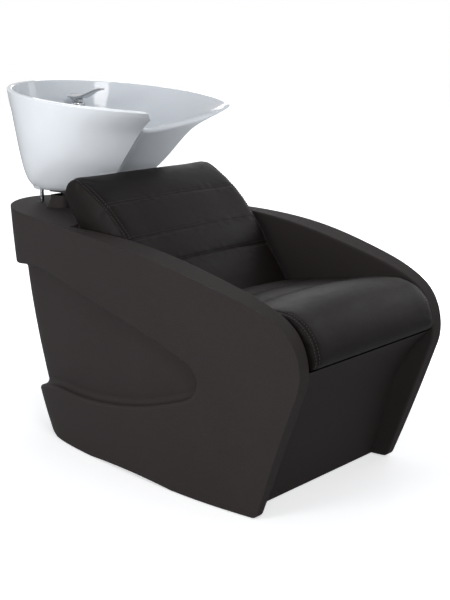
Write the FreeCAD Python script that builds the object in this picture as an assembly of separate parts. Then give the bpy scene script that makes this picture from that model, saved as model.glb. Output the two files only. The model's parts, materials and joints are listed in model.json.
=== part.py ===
import FreeCAD, Part
import math
import os

# Salon backwash unit: a moulded chair body with seat and back cushions, and a ceramic
# basin that tilts on a hinge standing in the rear deck. Millimetres, +Z up, front is -Y.
# Depths along Y are measured from the line of the front feet.

V = FreeCAD.Vector
X_AXIS = V(1, 0, 0)
Y_AXIS = V(0, 1, 0)
Z_AXIS = V(0, 0, 1)

OVERRUN = 40.0
FIT = 0.3
SEAT_FRONT = 151.6

# Moulded body
RIM_HALF = 365.0
BASE_HALF = 306.0
RIM_REAR = 1050.0
FOOT_Y = (SEAT_FRONT - RIM_REAR) / 2
BASE_REAR = 930.0
HULL_FRONT = 200.0
DECK_Z = 641.0
DECK_CROWN = 15.0
DECK_DROP = 12.0
CROWN_START = 350.0
CROWN_RUN = 300.0
SHELL_LIFT = 3.0
SHELL_WALL = 6.0
NOSE = 137.0
FOOT_SETBACK = 6.0
FOOT_ROUND = 14.0
RIM_FILLET = 5.0
DEPTH_SHARES = [0, 0.16, 0.36, 0.56, 0.72, 0.84, 0.94]
RIM_SHARES = [0.855, 0.956, 1.0, 0.923, 0.77, 0.608, 0.42]
BASE_SHARES = [0.98, 1.0, 0.957, 0.83, 0.70, 0.575, 0.39]
LEVEL_SHARES = [0, 0.2, 0.5, 0.82, 1.08]
LEAN_SHARES = [0, 0.33, 0.68, 0.92, 1.03]
ARM_DEPTH_SHARES = [1.13, 0.789, 0.503, 0.326, 0.191, 0.086, 0.027, 0.001, 0.008]
ARM_HEIGHT_SHARES = [1.0, 1.0, 0.989, 0.938, 0.872, 0.805, 0.73, 0.616, 0.512]

# Side scoop that runs round the back
SCOOP_DEPTH = 30.0
SCOOP_LENGTH = 770.0
SCOOP_TIP = 150.0
SCOOP_HEIGHT = 320.0
SCOOP_EDGE = 9.0
SCOOP_ROOT = 14.0
SCOOP_Y_SHARES = [1.49, 1.065, 0.83, 0.649, 0.397, 0.182, 0.055, 0.01, 0,
                  0.013, 0.091, 0.229, 0.461, 0.651, 0.855, 1.0, 1.49]
SCOOP_Z_SHARES = [1.469, 1.519, 1.588, 1.55, 1.419, 1.269, 1.15, 1.078, 0.994,
                  0.906, 0.803, 0.70, 0.591, 0.547, 0.516, 0.406, 0.188]

# Seat well between the arms and the recessed front panel
WELL_HALF = 281.0
PAN_FRONT_Y = -118.0
PAN_FRONT_Z = 358.0
PAN_RUN = 498.0
SEAT_TILT = 8.0
BACK_RAKE = 34.0
PANEL_SETBACK = 45.0
LIP_HIGH = 15.0
LIP_REACH = 14.0
LIP_BACK = 20.0
PANEL_Y_SHARES = [0, 0.19, 0.393, 0.644, 1.0]
PANEL_Z_SHARES = [0, 0.299, 0.612, 0.827, 1.0]

# Pedestal on the deck
HINGE_Y = 842.0
HINGE_Z = 668.0
PEDESTAL_TOP = 686.0
PEDESTAL_FOOT = 622.0
PEDESTAL_HALF = 108.0
PEDESTAL_DEEP = 28.0
PEDESTAL_FLARE = 62.0
PEDESTAL_LEAN = 12.0
PEDESTAL_CORNER = 16.0
FLARE_Z_SHARES = [0, 0.3, 0.6, 1.0]
FLARE_SHARES = [1.0, 0.4, 0.12, 0]
PAD_HALF = 130.0
PAD_DEEP = 62.0
PAD_THICK = 14.0
PAD_Z = 605.0

# Cushions
BOARD_THICK = 15.0
BACK_BOARD = 12.0
BOARD_SETBACK = 25.0
CUSHION_HALF = 277.0
CUSHION_TUCK = 7.0
CUSHION_EDGE = 20.0
CROWN_SHARES = [0.45, 0.8, 1.0]
SEAT_THICK = 147.0
SEAT_ROLL = 40.0
SEAT_CROWN = 9.0
SEAT_GAP = 0.4
ROLL_START = 60.0
ROLL_FRONT = 34.0
ROLL_FOOT = 22.0
CHANNEL_RISE = 4.0
SEAT_SEAMS = [180.0, 300.0]
BACK_FOOT = 50.0
BACK_THICK = 134.0
BACK_BEND = 308.0
BACK_TOP = 531.0
BACK_CROWN_Z = 64.0
BACK_HEAD = 26.0
BACK_CROWN = 8.0
BACK_SEAMS = [225.0, 418.0]

# Ceramic basin
BASE_Z = 700.0
CERAMIC = 14.0
BOWL_FLOOR = 733.0
RIM_ROUND = 3.0
LEDGE_Z = 858.0
LEDGE_Y = 880.0
LEDGE_THICK = 13.0
BASE_RECESS = 55.0
BASE_RECESS_DEEP = 12.0
DRAIN_R = 19.0

# Basin levels from its foot up past the rim: height, half width, depths of widest, rear and front
LEVEL_Z = [700.0, 708.0, 735.0, 790.0, 876.0, 931.0, 970.0, 1012.0]
LEVEL_HALF = [118.0, 134.0, 160.0, 203.0, 250.0, 275.0, 291.0, 307.0]
LEVEL_WIDE_Y = [862.0, 856.0, 845.0, 800.0, 745.0, 716.0, 697.0, 676.0]
LEVEL_REAR_Y = [968.0, 984.0, 994.0, 996.0, 999.0, 1003.0, 1008.0, 1013.0]
LEVEL_FRONT_Y = [731.0, 699.0, 642.0, 574.0, 487.0, 352.0, 280.0, 210.0]
EGG_POWER = 1.26
HORN_Y = 450.0
HORN_Z = 936.0
HORN_AHEAD = 32.0
RIM_SLOPE_SHARE = 0.101
NOTCH_R = 178.0
NOTCH_LEAN = 38.0
NECK_Y = 570.0
NECK_Z = 878.0
NECK_R = 285.0
NECK_LIP = 24.0
LIP_ROUND = 8.0
NECK_REACH = 60.0
FLOOR_HALF = 92.0
FLOOR_FRONT = 742.0
CORE_LEVELS = [0, 2, 3, 4]

# Hinge, frame and feet
PIN_R = 6.0
PIN_RUN = 0.05
EAR_X = 62.0
EAR_THICK = 5.0
EAR_HALF = 14.0
CHEEK_GAP = 1.0
CHEEK_THICK = 5.0
CHEEK_HALF = 15.0
PIN_HEAD_R = 9.0
PIN_HEAD = 4.0
BUSH_WALL = 2.0
CRADLE_THICK = 4.0
BUFFER_THICK = 3.0
CRADLE_HALF = 96.0
CRADLE_FRONT = 62.0
CRADLE_BACK = 44.0
CRADLE_HOLE = 36.0
CRADLE_CORNER = 14.0
BOLT_R = 4.0
BOLT_HEAD_R = 7.0
BOLT_HEAD = 5.0
BOLT_DEEP = 16.0
BOLT_X = 52.0
BOLT_AHEAD = 50.0
PAD_BEHIND = 26.0
TUBE = 40.0
TUBE_WALL = 3.0
RAIL_FRONT = 90.0
RAIL_Z = 14.0
CROSS_Y = [200.0, 640.0]
STAND_X = 72.0
PLATE_THICK = 6.0
FLANGE_HALF = 116.0
FLANGE_DEEP = 48.0
STAND_BOLT_X = 103.0
STAND_BOLT_Y = 40.0
SEAT_POST_U = 300.0
FEET_Y = [130.0, 800.0]
FOOT_R = 20.0
FOOT_TAPER = 4.0

# Support rod in the deck
ROD_X = 60.0
ROD_Y = 945.0
ROD_R = 5.5
ROD_LENGTH = 150.0
ROD_COLLAR_R = 14.0
ROD_COLLAR = 4.0
ROD_SLEEVE_R = 10.0
ROD_SLEEVE = 46.0
ROD_SEAT_Z = 651.0
BUFFER_R = 9.0
BUFFER_HIGH = 9.0
BUFFER_GAP = 0.6

# Waste and strainer
WASTE_LIP_R = 33.0
WASTE_LIP = 3.0
WASTE_R = 17.0
WASTE_WALL = 2.5
WASTE_LENGTH = 60.0
NUT_R = 26.0
NUT_HIGH = 10.0
GASKET = 3.0
TAIL_R = 14.0
TAIL_WALL = 2.0
TAIL_LENGTH = 95.0
TAIL_SOCKET = 24.0
STRAINER_R = 13.5
STRAINER_HIGH = 9.0
STRAINER_WALL = 1.6
STRAINER_HOLE_R = 1.8
STRAINER_HOLES = 8
STRAINER_KNOB_R = 3.0
STRAINER_RIM_R = 22.0
STRAINER_SKIRT = 6.0
STRAINER_RING_SHARES = [0.45, 0.8]

# Mixer tap
MIXER_X = 60.0
MIXER_Y = 915.0
MIXER_R = 24.0
MIXER_TAPER = 3.0
MIXER_HIGH = 70.0
MIXER_SEAL = 2.0
SHANK_R = 15.0
SHANK_LENGTH = 62.0
SHANK_BORE_R = 4.0
SHANK_BORE_X = 6.5
SHANK_HOLE_R = 17.0
MIXER_NUT_R = 20.0
MIXER_NUT = 9.0
TURRET_R = 17.0
TURRET_HIGH = 9.0
TURRET_NECK_R = 11.0
TURRET_NECK = 10.0
LEVER_BACK = 20.0
LEVER_LENGTH = 100.0
LEVER_HALF = 20.0
LEVER_TIP_HALF = 7.0
LEVER_THICK = 15.0
LEVER_TIP_THICK = 6.0
LEVER_RISE = 28.0
LEVER_GAP = 0.5
LEVER_PIVOT_R = 3.5
LEVER_PIVOT_HALF = 7.0
LEVER_PIVOT_BACK = 14.0
LEVER_PIVOT_UP = 5.0
LEVER_SHARES = [0, 0.12, 0.24, 0.4, 0.6, 0.8, 1.0]
LEVER_TAPER_POWER = 1.5
LEVER_BEND_SHARE = 0.2

# Hand shower
SHOWER_X = -60.0
COLLAR_R = 27.0
COLLAR_HIGH = 7.0
COLLAR_TUBE_R = 17.0
COLLAR_TUBE = 42.0
COLLAR_BORE_R = 13.0
COLLAR_NUT_R = 20.5
COLLAR_NUT = 9.0
HANDLE_R = 12.0
HANDLE_DOWN = 84.0
HEAD_R = 24.0
HEAD_Z = 942.0
HEAD_SKIRT = 14.0
HANDLE_END = 3.0
HEAD_NECK_SHARE = 0.5

# Screws
SCREW_R = 2.5
SCREW_HEAD_R = 6.0
SCREW_HEAD = 3.0
SCREW_DEEP = 12.0
SCREW_X = 200.0
SEAT_SCREW_U = [80.0, 260.0]
BACK_SCREW_S = [120.0, 330.0]


def place(x, y, z):
    """A point from its depth behind the front feet."""
    return V(x, FOOT_Y + y, z)


def spline(points):
    curve = Part.BSplineCurve()
    curve.interpolate(points)
    return curve.toShape()


def arc(first, middle, last):
    return Part.Arc(first, middle, last).toShape()


def polygon(points):
    return Part.makePolygon(points + [points[0]])


def prism(points, direction):
    return Part.Face(polygon(points)).extrude(direction)


def cylinder(radius, height, base, axis=Z_AXIS):
    return Part.makeCylinder(radius, height, base, axis)


def tube(radius, bore, height, base, axis=Z_AXIS):
    return cylinder(radius, height, base, axis).cut(cylinder(bore, height, base, axis))


def box(x0, x1, y0, y1, z0, z1):
    return Part.makeBox(x1 - x0, y1 - y0, z1 - z0, place(x0, y0, z0))


def rounded_rect(half_x, front, rear, corner, z):
    """Closed wire of a rectangle with rounded corners at one level."""
    base = Part.makePlane(2 * half_x, rear - front, place(-half_x, front, z))
    solid = base.extrude(V(0, 0, OVERRUN))
    edges = [e for e in solid.Edges if abs(e.tangentAt(e.FirstParameter).z) > 0.5]
    rounded = solid.makeFillet(corner, edges)
    bottom = min(rounded.Faces, key=lambda f: f.CenterOfMass.z)
    return bottom.OuterWire


def is_spline(face):
    return face.Surface.TypeId == "Part::GeomBSplineSurface"


def edges_between(shape, first, second):
    """Edges that border both a face picked by first and a face picked by second."""
    ones = [f for f in shape.Faces if first(f)]
    twos = [f for f in shape.Faces if second(f)]
    found = []
    for one in ones:
        for edge in one.Edges:
            if any(edge.isSame(other) for two in twos for other in two.Edges):
                found.append(edge)
    return found


def outline_points(lean, inset):
    """Half outline of the body at one lean, moved inwards along its normals."""
    rear = BASE_REAR + (RIM_REAR - BASE_REAR) * lean
    points = []
    for depth, rim, base in zip(DEPTH_SHARES, RIM_SHARES, BASE_SHARES):
        half = base * BASE_HALF * (1 - lean) + rim * RIM_HALF * lean
        points.append((half, (rear + HULL_FRONT) * depth - HULL_FRONT))
    points.append((0, rear))
    moved = [(points[0][0] - inset, points[0][1])]
    for before, here, after in zip(points, points[1:], points[2:]):
        run = math.hypot(after[0] - before[0], after[1] - before[1])
        moved.append((here[0] - inset * (after[1] - before[1]) / run,
                      here[1] + inset * (after[0] - before[0]) / run))
    moved.append((0, rear - inset))
    return moved


def hull(inset, drop):
    """Outer form of the body, without its seat and scoop."""
    wires = []
    for level, lean in zip(LEVEL_SHARES, LEAN_SHARES):
        z = level * DECK_Z - (0 if level else drop)
        points = outline_points(lean, inset)
        left = [place(-x, y, z) for x, y in points]
        right = [place(x, y, z) for x, y in reversed(points[:-1])]
        wires.append(Part.Wire([spline(left + right), Part.makeLine(right[-1], left[0])]))
    return Part.makeLoft(wires, True, False)


def arm_profile(x, crown, inset, floor):
    """Side outline: rear end, deck, falling arm, round nose and slanting front edge."""
    span = RIM_REAR + NOSE
    points = []
    for depth, height in zip(ARM_DEPTH_SHARES, ARM_HEIGHT_SHARES):
        y = depth * span - NOSE
        rise = max(0, min(1, (y - CROWN_START) / CROWN_RUN))
        forward = max(0, 1 - depth / ARM_DEPTH_SHARES[-4])
        points.append(place(x, y + inset * forward, height * DECK_Z + crown * rise - inset * (1 - forward)))
    nose = points[-1]
    foot = place(x, -FOOT_SETBACK + inset, SHELL_LIFT)
    foot = foot + (foot - nose) * ((SHELL_LIFT - floor) / (nose.z - SHELL_LIFT))
    rear = place(x, ARM_DEPTH_SHARES[0] * span - NOSE, floor)
    up = (nose - foot).normalize()
    half = up.getAngle(Y_AXIS) / 2
    first, last = foot + up * FOOT_ROUND, foot + Y_AXIS * FOOT_ROUND
    middle = foot + (up + Y_AXIS).normalize() * (FOOT_ROUND * (1 - math.sin(half)) / math.cos(half))
    edges = [spline(points), Part.makeLine(nose, first), arc(first, middle, last)]
    edges += [Part.makeLine(last, rear), Part.makeLine(rear, points[0])]
    return Part.Wire(edges)


def arm_form(inset, floor):
    reach = RIM_HALF + OVERRUN
    wires = [arm_profile(-reach, -DECK_DROP, inset, floor), arm_profile(0, DECK_CROWN, inset, floor),
             arm_profile(reach, -DECK_DROP, inset, floor)]
    return Part.makeLoft(wires, True, False)


def pan_point(along, up):
    """Depth and height of a point from the front edge of the seat pan."""
    tilt = math.radians(SEAT_TILT)
    return (PAN_FRONT_Y + along * math.cos(tilt) + up * math.sin(tilt),
            PAN_FRONT_Z - along * math.sin(tilt) + up * math.cos(tilt))


def back_point(along, out):
    """Depth and height of a point from the foot of the back wall."""
    rake = math.radians(BACK_RAKE)
    y, z = pan_point(PAN_RUN, 0)
    return (y + along * math.sin(rake) - out * math.cos(rake),
            z + along * math.cos(rake) + out * math.sin(rake))


def panel_points(grow):
    """Front panel in depth and height from the floor to the lip, moved back along its normals."""
    end_y, end_z = pan_point(-LIP_REACH, LIP_HIGH)
    line = []
    for depth, height in zip(PANEL_Y_SHARES, PANEL_Z_SHARES):
        y = PANEL_SETBACK + (end_y - PANEL_SETBACK) * depth
        line.append((y, SHELL_LIFT + (end_z - SHELL_LIFT) * height))
    moved = []
    for index, (y, z) in enumerate(line):
        before, after = line[max(0, index - 1)], line[min(len(line) - 1, index + 1)]
        run = math.hypot(after[0] - before[0], after[1] - before[1])
        moved.append((y + grow * (after[1] - before[1]) / run, z - grow * (after[0] - before[0]) / run))
    return moved


def pan_meeting(panel, grow):
    """Where the panel's upper end, drawn on, meets the underside of the pan."""
    (y, z), (end_y, end_z) = panel[-2:]
    slope = (end_z - z) / (end_y - y)
    pan_y, pan_z = pan_point(0, -grow)
    fall = -math.tan(math.radians(SEAT_TILT))
    meet = (end_z - pan_z - slope * end_y + fall * pan_y) / (fall - slope)
    return meet, pan_z + fall * (meet - pan_y)


def well(grow):
    """Space between the arms: in front of the panel, over the pan and before the back wall."""
    half = WELL_HALF + grow
    panel = panel_points(grow)
    if grow:
        panel[-1] = pan_meeting(panel, grow)
        lip = []
    else:
        lip = [pan_point(LIP_BACK, LIP_HIGH), pan_point(LIP_BACK, 0)]
    turn = math.radians(BACK_RAKE - SEAT_TILT)
    rear = pan_point(PAN_RUN + grow * (1 - math.sin(turn)) / math.cos(turn), -grow)
    top = back_point(BACK_TOP + OVERRUN, -grow)
    ahead = -HULL_FRONT - OVERRUN
    corners = [panel[-1]] + lip + [rear, top, (ahead, top[1]), (ahead, -OVERRUN)]
    corners += [(panel[0][0], -OVERRUN), panel[0]]
    corners = [place(-half, *corner) for corner in corners]
    edges = [spline([place(-half, *point) for point in panel])]
    edges += [Part.makeLine(a, b) for a, b in zip(corners, corners[1:])]
    return Part.Face(Part.Wire(edges)).extrude(V(2 * half, 0, 0))


def scoop(grow, depth):
    """Shallow hollow round the sides and back, between two long curves."""
    reach = RIM_HALF + OVERRUN
    middle = SCOOP_HEIGHT
    points = []
    for along, height in zip(SCOOP_Y_SHARES, SCOOP_Z_SHARES):
        z = height * SCOOP_HEIGHT
        shift = grow if z > middle else -grow
        ahead = grow * max(0, 1 - along / SCOOP_Y_SHARES[6])
        points.append(place(-reach, SCOOP_TIP + along * SCOOP_LENGTH - ahead, z + shift))
    end = Part.makeLine(points[-1], points[0])
    band = Part.Face(Part.Wire([spline(points), end])).extrude(V(2 * reach, 0, 0))
    return band.cut(hull(depth, OVERRUN))


def pedestal(inset, top, bottom):
    """Flared socket on the deck that the hinge stands in."""
    wires = []
    for level, flare in zip(FLARE_Z_SHARES, FLARE_SHARES):
        z = bottom + (top - bottom) * level
        half = PEDESTAL_HALF + PEDESTAL_FLARE * flare - inset
        front = HINGE_Y - PEDESTAL_DEEP - PEDESTAL_LEAN * (1 - level) - PEDESTAL_FLARE * flare / 2 + inset
        rear = HINGE_Y + PEDESTAL_DEEP + PEDESTAL_FLARE * flare / 2 - inset
        wires.append(rounded_rect(half, front, rear, PEDESTAL_CORNER - inset / 2, z))
    return Part.makeLoft(wires, True, False)


def make_body_shell():
    body = hull(0, 0).common(arm_form(0, SHELL_LIFT)).cut(well(0))
    body = body.cut(scoop(0, SCOOP_DEPTH))
    is_swept = lambda f: f.Surface.TypeId == "Part::GeomSurfaceOfExtrusion"
    is_wall = lambda f: is_swept(f) and f.BoundBox.YMax > place(0, HINGE_Y, 0).y
    is_floor = lambda f: is_spline(f) and f.BoundBox.XMax < RIM_HALF - SCOOP_DEPTH / 2
    is_outer = lambda f: is_spline(f) and not is_floor(f) and f.BoundBox.ZMin < DECK_Z / 2
    body = body.makeFillet(SCOOP_ROOT, edges_between(body, is_wall, is_floor))
    body = body.makeFillet(SCOOP_EDGE, edges_between(body, is_wall, is_outer))
    is_top = lambda f: is_spline(f) and f.BoundBox.ZMax > DECK_Z and f.BoundBox.ZMin > SHELL_LIFT + OVERRUN
    is_side = lambda f: f.Surface.TypeId == "Part::GeomPlane" and abs(f.normalAt(0, 0).x) > 0.9
    body = body.makeFillet(RIM_FILLET, edges_between(body, is_top, is_side))
    cavity = hull(SHELL_WALL, OVERRUN).common(arm_form(SHELL_WALL, -OVERRUN)).cut(well(SHELL_WALL))
    cavity = cavity.cut(scoop(SHELL_WALL, SCOOP_DEPTH + SHELL_WALL))
    pad = box(-PAD_HALF, PAD_HALF, HINGE_Y - PAD_DEEP, HINGE_Y + PAD_DEEP, PAD_Z, DECK_Z)
    cavity = cavity.cut(pad)
    for x in (-ROD_X, ROD_X):
        boss = cylinder(ROD_COLLAR_R + SHELL_WALL, PAD_THICK, place(x, ROD_Y, ROD_SEAT_Z - PAD_THICK))
        cavity = cavity.cut(boss)
    body = body.cut(cavity)
    body = body.fuse(pedestal(0, PEDESTAL_TOP, PEDESTAL_FOOT))
    slot = box(-PEDESTAL_HALF + SHELL_WALL, PEDESTAL_HALF - SHELL_WALL, HINGE_Y - PEDESTAL_DEEP + SHELL_WALL,
               HINGE_Y + PEDESTAL_DEEP - SHELL_WALL, PAD_Z - OVERRUN, PEDESTAL_TOP + OVERRUN)
    body = body.cut(slot)
    room = PEDESTAL_DEEP + SHELL_WALL
    body = body.cut(box(-PEDESTAL_HALF + SHELL_WALL, PEDESTAL_HALF - SHELL_WALL,
                        HINGE_Y - room, HINGE_Y + room, PAD_Z - OVERRUN, DECK_Z))
    for x in (-ROD_X, ROD_X):
        body = body.cut(cylinder(ROD_COLLAR_R + FIT, OVERRUN, place(x, ROD_Y, ROD_SEAT_Z)))
        body = body.cut(cylinder(ROD_SLEEVE_R, OVERRUN * 2, place(x, ROD_Y, ROD_SEAT_Z - OVERRUN)))
    return body


def seat_rear(up):
    """Place along the pan where the seat cushion meets the face of the back cushion."""
    lean = math.radians(BACK_RAKE - SEAT_TILT)
    clear = BACK_BOARD + FIT + BACK_THICK + BACK_CROWN + CHANNEL_RISE + SEAT_GAP
    return PAN_RUN - (clear - up * math.sin(lean)) / math.cos(lean)


def channels(x, frame, stops, rise):
    """Padded panels between seams: one low arc from each stop to the next."""
    edges = []
    for (along, out), (along_2, out_2) in zip(stops, stops[1:]):
        run = math.hypot(along_2 - along, out_2 - out)
        middle = ((along + along_2) / 2 - (out_2 - out) / run * rise,
                  (out + out_2) / 2 + (along_2 - along) / run * rise)
        ends = [place(x, *frame(*point)) for point in ((along, out), middle, (along_2, out_2))]
        edges.append(arc(*ends))
    return edges


def cushion_sections(profile, crown):
    """Wires across the width: full in the middle, drawn in at both sides."""
    flat = CUSHION_HALF - CUSHION_EDGE
    right = [(flat * share, 0, crown * (1 - share * share)) for share in CROWN_SHARES]
    right += [(CUSHION_HALF - CUSHION_TUCK, CUSHION_TUCK / 3, 0), (CUSHION_HALF, CUSHION_TUCK, 0)]
    left = [(-x, tuck, rise) for x, tuck, rise in reversed(right)]
    stations = left + [(0, 0, crown)] + right
    return Part.makeLoft([profile(x, tuck, rise) for x, tuck, rise in stations], True, False)


def seat_profile(x, tuck, rise):
    base = BOARD_THICK + FIT
    top = base + SEAT_THICK + rise - 2 * tuck
    roll = ROLL_FRONT + base
    stops = [(ROLL_START, top)] + [(seam, top) for seam in SEAT_SEAMS] + [(seat_rear(top), top)]
    front = -SEAT_ROLL + tuck
    shoulder = ((ROLL_START + front) / 2 - SEAT_ROLL / 2, (top + roll) / 2 + SEAT_ROLL / 2)
    chin = ((front - ROLL_FOOT) / 2 - SEAT_ROLL / 8, (roll + base) / 2 - SEAT_ROLL / 8)
    at = lambda along, up: place(x, *pan_point(along, up))
    edges = [arc(at(-ROLL_FOOT, base), at(*chin), at(front, roll)),
             arc(at(front, roll), at(*shoulder), at(*stops[0]))]
    edges += channels(x, pan_point, stops, CHANNEL_RISE)
    edges.append(Part.makeLine(at(*stops[-1]), at(seat_rear(base), base)))
    edges.append(Part.makeLine(at(seat_rear(base), base), at(-ROLL_FOOT, base)))
    return Part.Wire(edges)


def back_profile(x, tuck, rise):
    base = BACK_BOARD + FIT
    face = base + BACK_THICK + rise - 2 * tuck
    crest = (BACK_TOP - tuck, base + BACK_CROWN_Z)
    seam = BACK_SEAMS[1]
    slope = (seam - BACK_BEND) / (crest[0] - BACK_BEND)
    bend = face + (crest[1] - face) * slope * slope
    stops = [(BACK_FOOT, face), (BACK_SEAMS[0], face), (BACK_BEND, face), (seam, bend), crest]
    at = lambda along, out: place(x, *back_point(along, out))
    neck = (BACK_TOP - BACK_HEAD, base)
    head = (BACK_TOP - tuck, base + BACK_CROWN_Z / 3)
    edges = channels(x, back_point, stops, CHANNEL_RISE)
    edges.append(arc(at(*crest), at(*head), at(*neck)))
    edges.append(Part.makeLine(at(*neck), at(BACK_FOOT, base)))
    edges.append(Part.makeLine(at(BACK_FOOT, base), at(BACK_FOOT, face)))
    return Part.Wire(edges)


def make_boards():
    """Plywood boards screwed to the pan and the back wall, under the cushions."""
    half = CUSHION_HALF - CUSHION_EDGE
    at_pan = lambda along, up: place(-half, *pan_point(along, up))
    at_back = lambda along, out: place(-half, *back_point(along, out))
    rear = seat_rear(0)
    seat = prism([at_pan(BOARD_SETBACK, 0), at_pan(rear, 0), at_pan(rear, BOARD_THICK),
                  at_pan(BOARD_SETBACK, BOARD_THICK)], X_AXIS * (2 * half))
    top = BACK_TOP - BACK_HEAD - OVERRUN * 2
    back = prism([at_back(BACK_FOOT, 0), at_back(top, 0), at_back(top, BACK_BOARD),
                  at_back(BACK_FOOT, BACK_BOARD)], X_AXIS * (2 * half))
    return seat, back


def egg_wire(half, wide_y, rear_y, front_y, z):
    """Egg-shaped level of the basin: elliptical rear and a narrower front."""
    right = []
    for step in range(1, 8):
        turn = math.radians(22.5 * (step - 4))
        wide = half * math.cos(turn) ** (1 if step > 4 else EGG_POWER)
        reach = rear_y - wide_y if step > 4 else wide_y - front_y
        right.append((wide, wide_y + reach * math.sin(turn)))
    left = [(-x, y) for x, y in reversed(right)]
    points = [(0, front_y)] + right + [(0, rear_y)] + left
    curve = Part.BSplineCurve()
    curve.interpolate([place(x, y, z) for x, y in points], PeriodicFlag=True)
    return Part.Wire([curve.toShape()])


def egg(inset, first):
    """The basin's egg form from one level up, moved inwards for the bowl."""
    levels = list(zip(LEVEL_HALF, LEVEL_WIDE_Y, LEVEL_REAR_Y, LEVEL_FRONT_Y, LEVEL_Z))[first:]
    wires = []
    for half, wide, rear, front, z in levels:
        wires.append(egg_wire(half - inset, wide, rear - inset, front + inset, z))
    return wires


def notch(radius):
    """Leaning cylinder that hollows the front for the neck."""
    lean = math.radians(NOTCH_LEAN)
    axis = V(0, -math.sin(lean), math.cos(lean))
    height = LEVEL_Z[-1] - LEVEL_Z[0]
    start = place(0, NECK_Y - NOTCH_R / math.cos(lean), NECK_Z) - axis * height
    return cylinder(radius, height * 2, start, axis)


def ellipse_wire(half, wide_y, rear_y, z):
    deep = rear_y - wide_y
    long_way = X_AXIS * half if half > deep else Y_AXIS * deep
    short_way = Y_AXIS * deep if half > deep else X_AXIS * half
    centre = place(0, wide_y, z)
    curve = Part.Ellipse(centre + long_way, centre + short_way, centre)
    return Part.Wire([curve.toShape()])


def basin_core(inset):
    """Rear of the basin as a plain solid, used for the tap ledge and the space under it."""
    wires = []
    for level in CORE_LEVELS:
        drop = OVERRUN if level == 0 else 0
        wires.append(ellipse_wire(LEVEL_HALF[level] - inset, LEVEL_WIDE_Y[level], LEVEL_REAR_Y[level] - inset,
                                  LEVEL_Z[level] - drop))
    return Part.makeLoft(wires, True, False)


def make_basin():
    reach = LEVEL_HALF[-1] + OVERRUN
    front_y, rear_y = LEVEL_FRONT_Y[-1] - OVERRUN, LEVEL_REAR_Y[-1] + OVERRUN
    rim_z = lambda y: HORN_Z + (y - HORN_Y) * RIM_SLOPE_SHARE
    ceiling = LEVEL_Z[-1] + OVERRUN
    above = prism([place(-reach, front_y, rim_z(front_y)), place(-reach, rear_y, rim_z(rear_y)),
                   place(-reach, rear_y, ceiling), place(-reach, front_y, ceiling)], X_AXIS * (2 * reach))
    dip = cylinder(NECK_R, NECK_Y + NECK_REACH - front_y, place(0, front_y, NECK_Z + NECK_R), Y_AXIS)
    floor = egg_wire(FLOOR_HALF, LEVEL_WIDE_Y[2], LEDGE_Y + CERAMIC, FLOOR_FRONT, BOWL_FLOOR)
    inner = Part.makeLoft([floor] + egg(CERAMIC, 3), True, False)
    bowl = Part.makeLoft(egg(0, 0), True, False).cut(inner).cut(above)
    bowl = bowl.cut(box(-reach, reach, front_y, HORN_Y - HORN_AHEAD, HORN_Z - NECK_R, ceiling))
    is_top = lambda f: isinstance(f.Surface, Part.Plane) and f.BoundBox.ZMax > HORN_Z
    bowl = bowl.makeFillet(RIM_ROUND, edges_between(bowl, is_top, is_spline))
    lip = inner.common(notch(NOTCH_R + NECK_LIP)).cut(notch(NOTCH_R)).cut(above).cut(dip)
    is_dip = lambda f: isinstance(f.Surface, Part.Cylinder) and abs(f.Surface.Radius - NECK_R) < FIT
    is_lip = lambda f: isinstance(f.Surface, Part.Cylinder) and not is_dip(f)
    lip = lip.makeFillet(LIP_ROUND, edges_between(lip, is_dip, is_lip))
    bowl = bowl.cut(dip).cut(notch(NOTCH_R)).fuse(lip)
    ledge = basin_core(CERAMIC / 2).common(box(-reach, reach, LEDGE_Y, LEVEL_REAR_Y[-1], BASE_Z, LEDGE_Z))
    bowl = bowl.fuse(ledge)
    hollow = basin_core(CERAMIC).common(box(-reach, reach, LEDGE_Y + LEDGE_THICK, LEVEL_REAR_Y[-1],
                                            BASE_Z - OVERRUN, LEDGE_Z - LEDGE_THICK))
    bowl = bowl.cut(hollow)
    bowl = bowl.cut(cylinder(DRAIN_R, OVERRUN * 2, place(0, HINGE_Y, BASE_Z - OVERRUN)))
    bowl = bowl.cut(cylinder(WASTE_LIP_R + FIT, OVERRUN, place(0, HINGE_Y, BOWL_FLOOR - WASTE_LIP)))
    bowl = bowl.cut(cylinder(BASE_RECESS, BASE_RECESS_DEEP + OVERRUN, place(0, HINGE_Y, BASE_Z - OVERRUN)))
    for x, radius in ((MIXER_X, SHANK_HOLE_R), (SHOWER_X, COLLAR_TUBE_R + FIT)):
        bowl = bowl.cut(cylinder(radius, OVERRUN, place(x, MIXER_Y, LEDGE_Z - OVERRUN)))
    for x, y in bolt_places():
        bowl = bowl.cut(cylinder(BOLT_R + FIT, BOLT_DEEP, place(x, y, BASE_Z)))
    return bowl


def bolt_places():
    """The two bolts that hold the basin to its cradle, in front of the hinge line."""
    return [(side * BOLT_X, HINGE_Y - BOLT_AHEAD) for side in (-1, 1)]


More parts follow.
